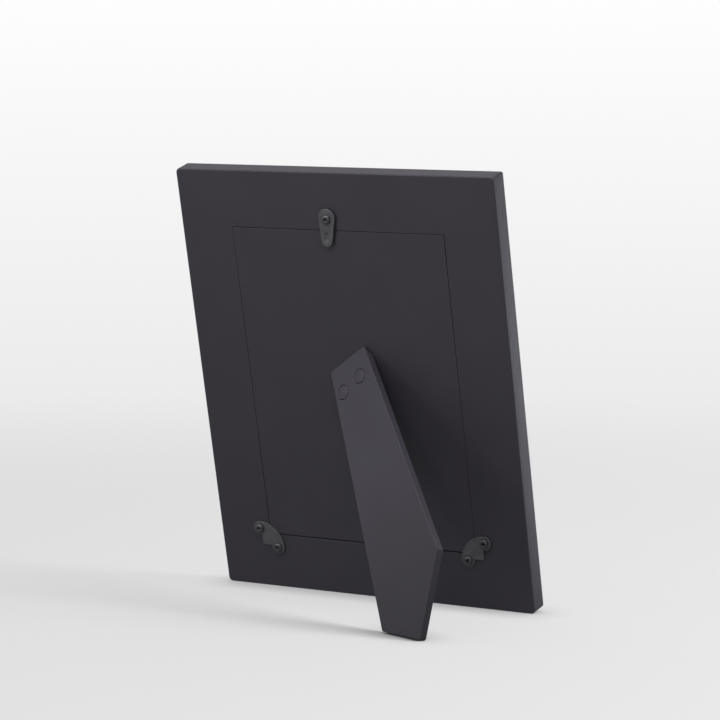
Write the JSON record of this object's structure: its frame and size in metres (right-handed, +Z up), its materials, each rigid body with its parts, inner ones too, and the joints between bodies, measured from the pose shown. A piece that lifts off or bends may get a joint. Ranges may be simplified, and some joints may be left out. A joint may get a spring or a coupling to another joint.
{
  "type": "picture frame",
  "caption": "Flat wide-rail picture frame standing on a tapered easel leg that folds against its back, with a glazed rabbet and a backing panel held by a turn button and corner plates.",
  "frame": {"origin": "on the table, under the middle of the standing frame's bounding box", "axes": "+Z up, the picture faces -Y and the leg opens towards +Y; +X is to the right for someone looking at the picture"},
  "size_m": [0.194, 0.1106, 0.2404],
  "materials": {
    "frame_paint": "matt black paint",
    "panel_paint": "matt black paint",
    "leg_paint": "matt black paint",
    "leg_paint_steel": "matt black paint",
    "black_steel": "satin black",
    "screw_black": "gloss black",
    "bare_steel": "satin",
    "glass": "clear",
    "paper": "matt"
  },
  "bodies": {
    "frame": {"rail_bottom": "frame_paint", "rail_right": "frame_paint", "rail_top": "frame_paint", "rail_left": "frame_paint", "mitre_nail_bottom_right_outer": "bare_steel", "mitre_nail_bottom_right_inner": "bare_steel", "mitre_nail_top_right_outer": "bare_steel", "mitre_nail_top_right_inner": "bare_steel", "mitre_nail_top_left_outer": "bare_steel", "mitre_nail_top_left_inner": "bare_steel", "mitre_nail_bottom_left_outer": "bare_steel", "mitre_nail_bottom_left_inner": "bare_steel", "glazing": "glass", "print_insert": "paper", "backing_panel": "panel_paint", "corner_plate_left": "black_steel", "corner_plate_right": "black_steel", "turn_button_screw": "screw_black", "corner_plate_left_screw_upper": "screw_black", "corner_plate_left_screw_lower": "screw_black", "corner_plate_right_screw_upper": "screw_black", "corner_plate_right_screw_lower": "screw_black", "hinge_leaf_on_panel": "bare_steel", "hinge_pin": "bare_steel", "panel_rivet_left": "bare_steel", "panel_rivet_right": "bare_steel"},
    "leg": {"easel_leg": "leg_paint", "hinge_leaf_on_leg": "bare_steel", "leg_rivet_left": "leg_paint_steel", "leg_rivet_right": "leg_paint_steel"},
    "button": {"turn_button": "black_steel"}
  },
  "joints": [
    {"name": "leg_fold", "type": "hinge", "parent": "frame", "child": "leg", "pos_m": [-0.00372, -0.01101, 0.12583], "axis": [-0.8091, 0.1411, 0.5704], "range_deg": [0, 34]},
    {"name": "button_turn", "type": "hinge", "parent": "frame", "child": "button", "pos_m": [0.00415, 0.00903, 0.21286], "axis": [0, 0.9707, -0.2401], "continuous": true}
  ]
}
